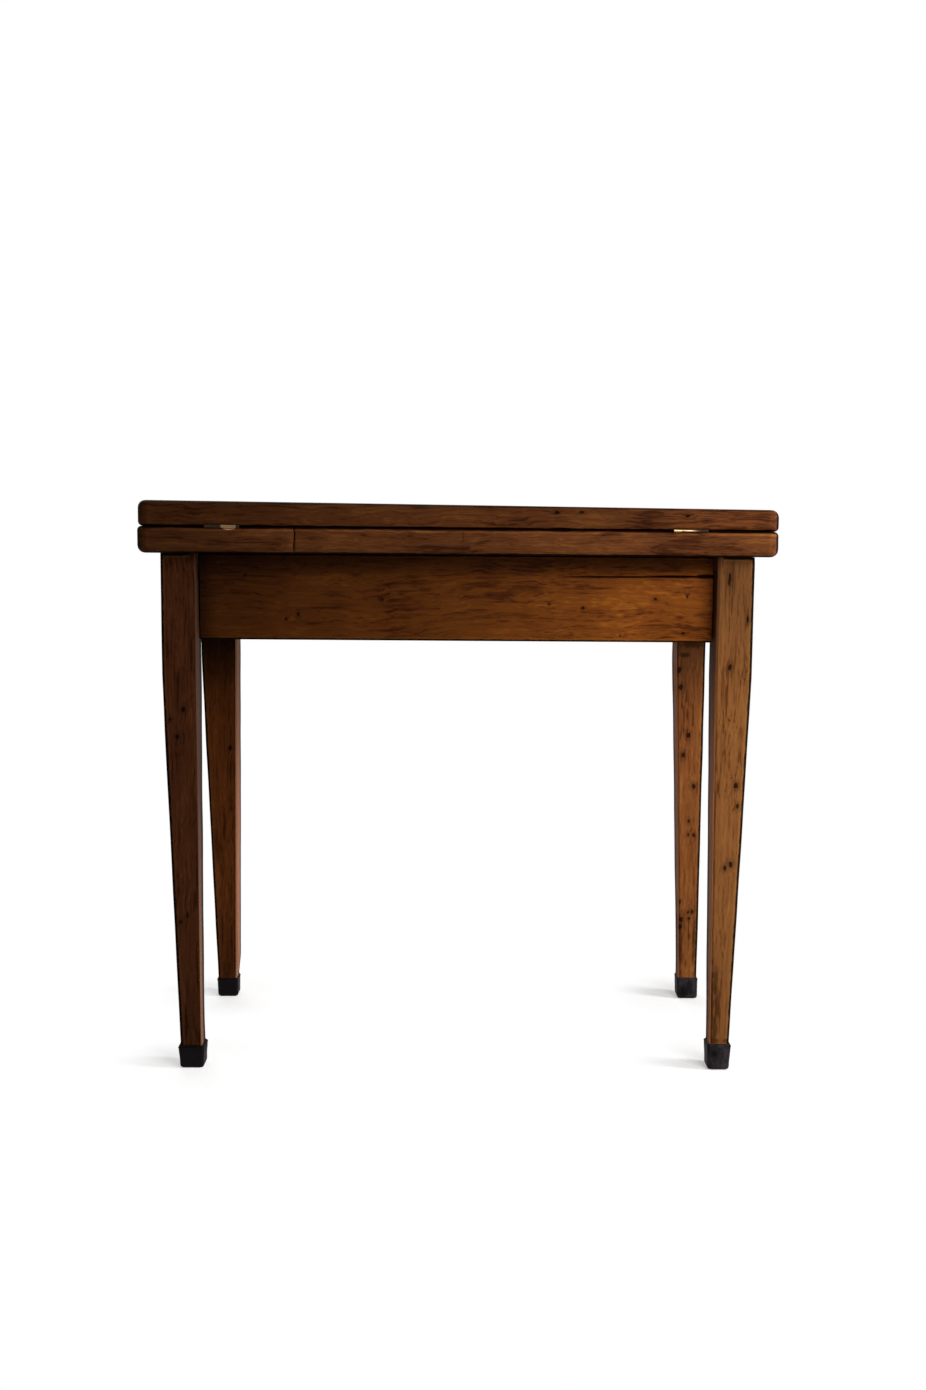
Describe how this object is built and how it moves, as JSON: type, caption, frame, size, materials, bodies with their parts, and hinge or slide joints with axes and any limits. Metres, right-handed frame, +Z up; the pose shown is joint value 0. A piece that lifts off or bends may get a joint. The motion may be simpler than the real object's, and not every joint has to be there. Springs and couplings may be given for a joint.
{
  "type": "fold over card table",
  "caption": "Wooden card table with a hinged double top that turns a quarter turn and folds open, on a railed frame with square tapered legs and rubber foot caps.",
  "frame": {"origin": "on the floor under the middle of the closed table", "axes": "+X runs along the table to the right as one faces its hinged edge, +Y runs away from that edge, +Z is up"},
  "size_m": [0.84, 0.4222, 0.7739],
  "materials": {
    "top_wood": "worn dark brown stain with a low sheen",
    "frame_wood": "worn mid brown stained pine with knots",
    "plain_wood": "bare pine, unstained inside",
    "brass": "aged",
    "steel": "dull",
    "rubber": "matte",
    "cloth": "napped baize"
  },
  "bodies": {
    "frame": {"rail_front": "frame_wood", "rail_back": "frame_wood", "rail_left": "frame_wood", "rail_right": "frame_wood", "leg_front_left": "frame_wood", "leg_front_right": "frame_wood", "leg_back_left": "frame_wood", "leg_back_right": "frame_wood", "foot_cap_front_left": "rubber", "foot_cap_front_right": "rubber", "foot_cap_back_left": "rubber", "foot_cap_back_right": "rubber", "pivot_bearer": "plain_wood", "well_batten_front": "plain_wood", "well_batten_back": "plain_wood", "well_board_1": "plain_wood", "well_board_2": "plain_wood", "well_board_3": "plain_wood", "batten_screw_front_1": "steel", "batten_screw_front_2": "steel", "batten_screw_front_3": "steel", "batten_screw_back_1": "steel", "batten_screw_back_2": "steel", "batten_screw_back_3": "steel"},
    "lower_top": {"lower_leaf": "top_wood", "lower_cloth": "cloth", "pivot_plate": "steel", "pivot_bolt": "steel", "pivot_washer": "steel", "pivot_nut": "steel", "pivot_plate_screw_1": "steel", "pivot_plate_screw_2": "steel", "pivot_plate_screw_3": "steel", "pivot_plate_screw_4": "steel", "stop_peg": "plain_wood", "hinge_left_lower": "brass", "hinge_left_pin": "brass", "hinge_left_lower_screw_1": "brass", "hinge_left_lower_screw_2": "brass", "hinge_left_lower_screw_3": "brass", "hinge_right_lower": "brass", "hinge_right_pin": "brass", "hinge_right_lower_screw_1": "brass", "hinge_right_lower_screw_2": "brass", "hinge_right_lower_screw_3": "brass"},
    "upper_top": {"upper_leaf": "top_wood", "upper_cloth": "cloth", "hinge_left_upper": "brass", "hinge_left_upper_screw_1": "brass", "hinge_left_upper_screw_2": "brass", "hinge_left_upper_screw_3": "brass", "hinge_right_upper": "brass", "hinge_right_upper_screw_1": "brass", "hinge_right_upper_screw_2": "brass", "hinge_right_upper_screw_3": "brass"}
  },
  "joints": [
    {"name": "top_swivel", "type": "hinge", "parent": "frame", "child": "lower_top", "pos_m": [-0.1051, -0.104, 0.705], "axis": [0, 0, 1], "range_deg": [0, 90]},
    {"name": "leaf_fold", "type": "hinge", "parent": "lower_top", "child": "upper_top", "pos_m": [0, -0.2091, 0.7396], "axis": [1, 0, -0.0023], "range_deg": [0, 180]}
  ]
}
